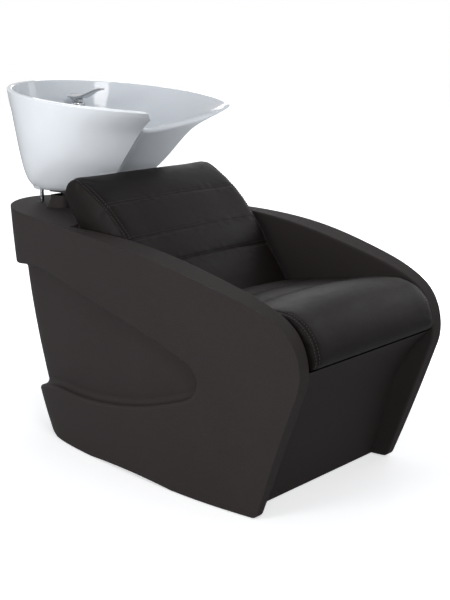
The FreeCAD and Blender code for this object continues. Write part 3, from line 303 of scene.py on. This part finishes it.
# %% Cushion places
FOOT_Y = -0.4492
SEAT_AHEAD, SEAT_HIGH = 0.118, 0.358
BACK_BEHIND, BACK_HIGH = 0.3752, 0.2887
SEAT_TURN = math.radians(8.0)
BACK_TURN = math.radians(34.0)
SEAT_ROOT = Vector((0, FOOT_Y - SEAT_AHEAD, SEAT_HIGH))
BACK_ROOT = Vector((0, FOOT_Y + BACK_BEHIND, BACK_HIGH))
SEAT_WAYS = (Vector((0, math.cos(SEAT_TURN), -math.sin(SEAT_TURN))),
             Vector((0, math.sin(SEAT_TURN), math.cos(SEAT_TURN))))
BACK_WAYS = (Vector((0, math.sin(BACK_TURN), math.cos(BACK_TURN))),
             Vector((0, -math.cos(BACK_TURN), math.sin(BACK_TURN))))
HALF = 0.277
WELT_X = 0.262
STITCH_STEP = 0.004


def spot(root, ways, x, along, out):
    """A point from its place along a cushion and its height over the board."""
    return root + ways[0] * along + ways[1] * out + Vector((x, 0, 0))


def bent(line):
    """Evenly spaced points along a line."""
    points = []
    for first, last in zip(line, line[1:]):
        count = max(1, int((last - first).length / STITCH_STEP))
        points += [first.lerp(last, index / count) for index in range(count)]
    return points + [line[-1]]


print("seat from", tuple(round(v, 3) for v in SEAT_ROOT), "back from", tuple(round(v, 3) for v in BACK_ROOT))


# %% Cushion tools
def surface(mesh):
    """A tree that finds the nearest place on a mesh."""
    return BVHTree.FromPolygons([v.co for v in mesh.vertices], [p.vertices[:] for p in mesh.polygons])


def onto(tree, points):
    """Each point moved to the nearest place on the surface, with the normal there."""
    return [tree.find_nearest(point)[:2] for point in points]


def nearest(points):
    """A tree that finds the nearest of some points."""
    tree = KDTree(len(points))
    for index, point in enumerate(points):
        tree.insert(point, index)
    tree.balance()
    return tree


def taken(piece):
    """The piece's mesh as its modifiers leave it."""
    graph = bpy.context.evaluated_depsgraph_get()
    return bpy.data.meshes.new_from_object(piece.evaluated_get(graph))


def swap(piece, mesh):
    """Gives the piece a new mesh and no modifiers."""
    piece.modifiers.clear()
    piece.data = mesh


print("tools ready")

# %% [markdown]
# The solid's mesh has long thin triangles, which cloth can't bend. A voxel remesh turns it into even squares,
# and a light smoothing takes off the steps. Pressure then fills the skin. A cap on the travel keeps the
# cushion inside its place between the arms, whatever the simulation does.

# %% Cloth
WELD_GAP = 0.0005
VOXEL = 0.006
SMOOTH_TURNS = 14
SHRINK = 0.004
BOARD_SIDE = 0.026
SEAM_HOLD = 0.006
PRESSURE = 4.0
CLOTH_STEPS = 5
CLOTH_STIFFNESS = 2.0
CLOTH_FRAMES = 20
SIDE_SLACK = 0.001


def skinned(name, node):
    """A shrunken skin of even squares, made from a cushion's solid."""
    piece = bpy.data.objects.new(name, nodes[node].data.copy())
    bpy.context.collection.objects.link(piece)
    weld = piece.modifiers.new("weld", "WELD")
    weld.merge_threshold = WELD_GAP
    skin = piece.modifiers.new("skin", "REMESH")
    skin.mode = "VOXEL"
    skin.voxel_size = VOXEL
    swap(piece, taken(piece))
    soft = piece.modifiers.new("soft", "SMOOTH")
    soft.iterations = SMOOTH_TURNS
    swap(piece, taken(piece))
    shrunk = [v.co - v.normal * SHRINK for v in piece.data.vertices]
    for vertex, place in zip(piece.data.vertices, shrunk):
        vertex.co = place
    return piece


def swell(name, node, lines, root, ways, cap):
    """A cushion blown up from its solid, held at its seams and on its board."""
    piece = skinned(name, node)
    tree = surface(piece.data)
    seams = nearest([place for line in lines for place, normal in onto(tree, line)])
    held = piece.vertex_groups.new(name="held")
    for vertex in piece.data.vertices:
        low = (vertex.co - root).dot(ways[1]) < BOARD_SIDE
        gap = seams.find(vertex.co)[2]
        if low or gap < SEAM_HOLD:
            held.add([vertex.index], 1.0, "REPLACE")
    cloth = piece.modifiers.new("cloth", "CLOTH")
    cloth.settings.use_pressure = True
    cloth.settings.uniform_pressure_force = PRESSURE
    cloth.settings.effector_weights.gravity = 0.0
    cloth.settings.vertex_group_mass = "held"
    cloth.settings.quality = CLOTH_STEPS
    cloth.settings.bending_stiffness = CLOTH_STIFFNESS
    start = [v.co.copy() for v in piece.data.vertices]
    for step in range(1, CLOTH_FRAMES + 1):
        bpy.context.scene.frame_set(step)
    blown = taken(piece)
    bpy.context.scene.frame_set(1)
    widest = HALF + SIDE_SLACK
    for vertex, first in zip(blown.vertices, start):
        move = vertex.co - first
        if move.length > cap:
            vertex.co = first + move * (cap / move.length)
        vertex.co.x = max(-widest, min(widest, vertex.co.x))
    swap(piece, blown)
    return piece


print("cloth ready")

# %% [markdown]
# A seam pulls the leather in to a narrow groove, and the leather beside it gathers in small waves. A bump in
# the finish would look flat from the side. So the points of the mesh move, by how near they are to a seam.

# %% Seams
SEAM_DEPTH = 0.003
SEAM_WIDTH = 0.0055
GATHER = 0.0011
GATHER_WAVES = 62.0
GATHER_REACH = 4


def sew(piece, lines):
    """Draw the surface in along the seams, with small gathers beside them."""
    tree = surface(piece.data)
    seams = nearest([place for line in lines for place, normal in onto(tree, line)])
    moved = []
    for vertex in piece.data.vertices:
        gap = seams.find(vertex.co)[2]
        pull = SEAM_DEPTH * math.exp(-(gap / SEAM_WIDTH) ** 2)
        fade = math.exp(-(gap / (SEAM_WIDTH * GATHER_REACH)) ** 2)
        ripple = noise3(vertex.co * GATHER_WAVES) * GATHER * fade
        moved.append(vertex.co - vertex.normal * (pull + ripple))
    for vertex, place in zip(piece.data.vertices, moved):
        vertex.co = place
    for face in piece.data.polygons:
        face.use_smooth = True
    fine = piece.modifiers.new("fine", "SUBSURF")
    fine.levels = fine.render_levels = 1


print("seams ready")

# %% [markdown]
# Along each seam run two rows of stitches in a thread a little paler than the leather. An array on a curve
# would do. Small stretched balls set on the surface are simpler, and they follow every gather.

# %% Stitches
SHORTEST_STITCH, LONGEST_STITCH = 0.001, 0.012
STITCH_LIFT = 0.0003
STITCH_SHARE = 0.62
STITCH_RADIUS = 0.0008
BALL_SIDES, BALL_RINGS = 6, 4


def stitches(name, tree, lines, body):
    """Rows of short sewn threads that lie on the leather."""
    mesh = bmesh.new()
    for line in lines:
        spots = onto(tree, line)
        for first, last in zip(spots[::2], spots[1::2]):
            run = last[0] - first[0]
            if run.length < SHORTEST_STITCH or run.length > LONGEST_STITCH:
                continue
            turn = run.to_track_quat("X", "Z").to_matrix().to_4x4()
            middle = Matrix.Translation((first[0] + last[0]) / 2 + first[1] * STITCH_LIFT)
            scale = Matrix.Diagonal((run.length * STITCH_SHARE, STITCH_RADIUS, STITCH_RADIUS, 1))
            bmesh.ops.create_uvsphere(mesh, u_segments=BALL_SIDES, v_segments=BALL_RINGS, radius=1.0,
                                      matrix=middle @ turn @ scale)
    data = bpy.data.meshes.new(name)
    mesh.to_mesh(data)
    mesh.free()
    piece = bpy.data.objects.new(name, data)
    bpy.context.collection.objects.link(piece)
    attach(piece, body)
    return piece


print("stitches ready")

# %% [markdown]
# The seat has two seams across and a welt along each side that goes down over the front roll. The back has
# three seams across and a welt up each side and over its top. One function makes both, so they can't differ
# in their sewing. Each pair of numbers is a place along the cushion and a height over its board.

# %% Sewn cushions
SEAT_ACROSS = [(0.18, 0.163), (0.30, 0.163)]
SEAT_LINE = [(0.36, 0.16), (0.18, 0.163), (0.06, 0.162), (0.02, 0.148), (-0.01, 0.126), (-0.032, 0.085),
             (-0.04, 0.049), (-0.036, 0.03), (-0.022, 0.016)]
BACK_ACROSS = [(0.225, 0.15), (0.308, 0.15), (0.418, 0.125)]
BACK_LINE = [(0.06, 0.15), (0.225, 0.15), (0.308, 0.149), (0.418, 0.123), (0.53, 0.076), (0.529, 0.04),
             (0.507, 0.014)]
SWELL_CAP = 0.008
ROW_SHIFT = 0.0055


def cushion(name, node, root, ways, across, profile):
    """One cushion with its seams, gathers and stitches."""
    ends = [[spot(root, ways, side * WELT_X, *place) for side in (-1, 1)] for place in across]
    seams = [bent(line) for line in ends]
    welts = [bent([spot(root, ways, side * WELT_X, *place) for place in profile]) for side in (-1, 1)]
    piece = swell(name, node, seams + welts, root, ways, SWELL_CAP)
    sew(piece, seams + welts)
    piece.data.materials.clear()
    piece.data.materials.append(finishes["dark_leather"])
    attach(piece, "chair")
    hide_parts(node)
    tree = surface(taken(piece))
    rows = []
    for shift in (-ROW_SHIFT, ROW_SHIFT):
        rows += [[point + ways[0] * shift for point in line] for line in seams]
        rows += [[point + Vector((shift, 0, 0)) for point in line] for line in welts]
    thread = stitches(name + "_stitches", tree, rows, "chair")
    thread.data.materials.append(finishes["thread"])
    print(name, len(piece.data.vertices), "points,", len(thread.data.polygons), "stitch faces")


cushion("seat_cover", "seat_cushion", SEAT_ROOT, SEAT_WAYS, SEAT_ACROSS, SEAT_LINE)
cushion("back_cover", "back_cushion", BACK_ROOT, BACK_WAYS, BACK_ACROSS, BACK_LINE)

# %% [markdown]
# ## Foot of the neck wall
# Where the wall under the neck runs down to the floor of the bowl, the solid leaves a narrow slot. On the
# real basin the glaze goes round that corner without a break. A sculpted patch could close it, but sections
# in millimetres, one every few centimetres across, keep the corner even and easy to change. Each section goes
# up the outside, over into the wall, down the inside, and back under the floor.

# %% Neck foot
FOOT_SECTIONS = [
    (0, [(219.6, 720.9), (219.8, 733), (221.5, 748.5), (242.5, 761.5), (255, 739.5), (298, 733), (245, 717)]),
    (30, [(227, 720.9), (222.5, 731), (220.5, 746), (240.7, 760), (254.5, 738.8), (296, 731.6), (250, 717)]),
    (60, [(242, 721.1), (229, 729), (214.3, 741.5), (235, 755.8), (254, 736.2), (300, 726.4), (262, 717.5)]),
    (80, [(254.1, 722.5), (236, 728), (207.8, 739.4), (229.4, 751), (250, 736), (292, 720.9), (275, 717.5)]),
    (90, [(259.3, 724.4), (240, 731), (213.3, 743.4), (225.5, 748.5), (249, 738), (296, 720.5),
          (280, 718.5)]),
    (100, [(262.7, 727.9), (241, 737.5), (212.8, 753.1), (210, 760), (244, 745.5), (294, 722), (283, 721)]),
    (110, [(262.3, 733.8), (243, 744), (211.6, 761.6), (212, 765), (243, 750.5), (288, 726.7), (278, 728)]),
    (118, [(262, 738.8), (247, 746.3), (222, 760.3), (222, 764), (247, 750), (280, 733), (272, 734.5)]),
    (126, [(262, 744.2), (247, 751.6), (232, 759.6), (232, 762), (247, 753.8), (264, 745), (263, 744.6)])]
MM_PER_METRE = 1000
BEND_STEPS = 6
SECTION_STEPS = 3


def bow(first, middle, last):
    """Points on a smooth bow through three places."""
    pull = [2 * m - (a + b) / 2 for a, m, b in zip(first, middle, last)]
    ways = [index / BEND_STEPS for index in range(BEND_STEPS + 1)]
    return [tuple((1 - t) ** 2 * a + 2 * t * (1 - t) * c + t * t * b for a, c, b in zip(first, pull, last))
            for t in ways]


def foot_ring(x, marks):
    """One closed section of the foot."""
    low_out, mid_out, top_out, top_in, mid_in, low_in, under = marks
    outline = bow(low_out, mid_out, top_out) + bow(top_in, mid_in, low_in) + [under]
    return [Vector((x, y, z)) / MM_PER_METRE for y, z in outline]


def foot_rings():
    """Sections from one side to the other, with steps between those of the table."""
    half = [foot_ring(x, marks) for x, marks in FOOT_SECTIONS]
    mirror = [[Vector((-point.x, point.y, point.z)) for point in ring] for ring in half[:0:-1]]
    whole = mirror + half
    rings = []
    for first, last in zip(whole, whole[1:]):
        for step in range(SECTION_STEPS):
            rings.append([a.lerp(b, step / SECTION_STEPS) for a, b in zip(first, last)])
    return rings + [half[-1]]


def neck_foot():
    """The corner as one closed piece in the basin's glaze."""
    mesh = bmesh.new()
    made = [[mesh.verts.new(point) for point in ring] for ring in foot_rings()]
    for first, last in zip(made, made[1:]):
        for index in range(len(first)):
            follow = (index + 1) % len(first)
            mesh.faces.new((first[index], first[follow], last[follow], last[index]))
    mesh.faces.new(made[0][::-1])
    mesh.faces.new(made[-1])
    bmesh.ops.recalc_face_normals(mesh, faces=mesh.faces)
    for face in mesh.faces:
        face.smooth = True
    data = bpy.data.meshes.new("neck_foot")
    mesh.to_mesh(data)
    mesh.free()
    data.materials.append(finishes["white_ceramic"])
    piece = bpy.data.objects.new("neck_foot", data)
    bpy.context.collection.objects.link(piece)
    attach(piece, "basin_unit")
    return piece


print("neck foot of", len(neck_foot().data.polygons), "faces")

# %% [markdown]
# ## Stage
# The unit stands on a pale floor in a white studio. More light would whiten the surroundings, but it would
# bleach the object too. So the floor and the world are white only where the camera sees them, and the world
# also in mirrors, while the light that they give stays plain. Near the object the floor's own glow is
# weaker, which leaves room for the shadow.

# %% Floor and world
FLOOR_DARK, FLOOR_LIGHT = (0.80, 0.80, 0.80), (0.84, 0.84, 0.84)
BLACK, WHITE = (0.0, 0.0, 0.0), (1.0, 1.0, 1.0)
SKY_LIGHT = (0.212, 0.228, 0.25)
GLOW = {"From Min": 0.7, "From Max": 1.7, "To Min": 0.55, "To Max": 1.0}
FLOOR_RADIUS, FLOOR_SIDES = 14.0, 64


def backdrop():
    """The floor's finish, with a glow that only the camera sees."""
    made, main, wire = shader("pale_floor", Roughness=0.7, Emission_Strength=1.0)
    place = here(wire)
    seen = wire.node("LightPath", out="Is Camera Ray")
    mottle = noise(wire, place, waves=3.0)
    away = wire.node("VectorMath", (place,), out="Value", operation="LENGTH")
    far = wire.node("MapRange", {"Value": away, **GLOW})
    drive(wire, main,
          Base_Color=tint(wire, mottle, FLOOR_DARK, FLOOR_LIGHT),
          Emission_Color=tint(wire, seen * far, BLACK, WHITE))
    return made


disc = bmesh.new()
bmesh.ops.create_circle(disc, cap_ends=True, segments=FLOOR_SIDES, radius=FLOOR_RADIUS)
floor_mesh = bpy.data.meshes.new("studio_floor")
disc.to_mesh(floor_mesh)
disc.free()
floor = bpy.data.objects.new("studio_floor", floor_mesh)
floor.data.materials.append(backdrop())
bpy.context.collection.objects.link(floor)

world = bpy.data.worlds.new("studio")
world.use_nodes = True
bpy.context.scene.world = world
sky = Wire(world.node_tree)
background = world.node_tree.nodes["Background"]
direct = sky.node("LightPath", out="Is Camera Ray") + sky.node("LightPath", out="Is Glossy Ray")
direct = direct + sky.node("LightPath", out="Is Transmission Ray")
direct = sky.node("Math", (direct, 1.0), operation="MINIMUM")
drive(sky, background, Color=tint(sky, direct, SKY_LIGHT, WHITE))
bpy.context.scene.view_settings.view_transform = "Standard"
print("floor and world ready")

# %% [markdown]
# Soft square lamps stand round the unit. The key and the low lamp light the side that the camera sees, the
# side and the sheen lamp draw a shine over the leather, and the far lamp keeps the other flank readable. One
# large dome would be simpler, but it leaves dark leather without shape. Each row of the table holds a
# lamp's place, the point it looks at, its size and its power in watts.

# %% Lamps
LAMPS = {"key_lamp": ((-2.0, -2.6, 2.3), (0, 0, 0.6), (1.1, 1.1), 48.0),
         "side_lamp": ((2.8, -0.9, 1.7), (0, 0, 0.5), (0.7, 1.6), 8.0),
         "top_lamp": ((0.1, 0.7, 3.4), (0, 0.1, 0.6), (1.4, 0.8), 7.0),
         "sheen_lamp": ((2.2, 1.8, 1.5), (0, -0.3, 0.5), (1.4, 0.5), 4.0),
         "far_lamp": ((2.9, 0.6, 0.42), (0, 0.1, 0.5), (1.2, 0.7), 15.0),
         "low_lamp": ((-3.0, 0.4, 1.0), (0, 0.1, 0.6), (1.2, 1.4), 46.0)}


def lamp(name, place, aim, size, power):
    """A soft lamp at a place, turned towards a point."""
    light = bpy.data.lights.new(name, "AREA")
    light.shape = "RECTANGLE"
    light.size, light.size_y = size
    light.energy = power
    made = bpy.data.objects.new(name, light)
    made.location = place
    made.rotation_euler = (Vector(aim) - Vector(place)).to_track_quat("-Z", "Y").to_euler()
    bpy.context.collection.objects.link(made)


for name, values in LAMPS.items():
    lamp(name, *values)
print("lamps:", list(LAMPS))

# %% [markdown]
# ## Size
# The box round the dressed unit should be that of its solids, give or take the swelling of the leather.
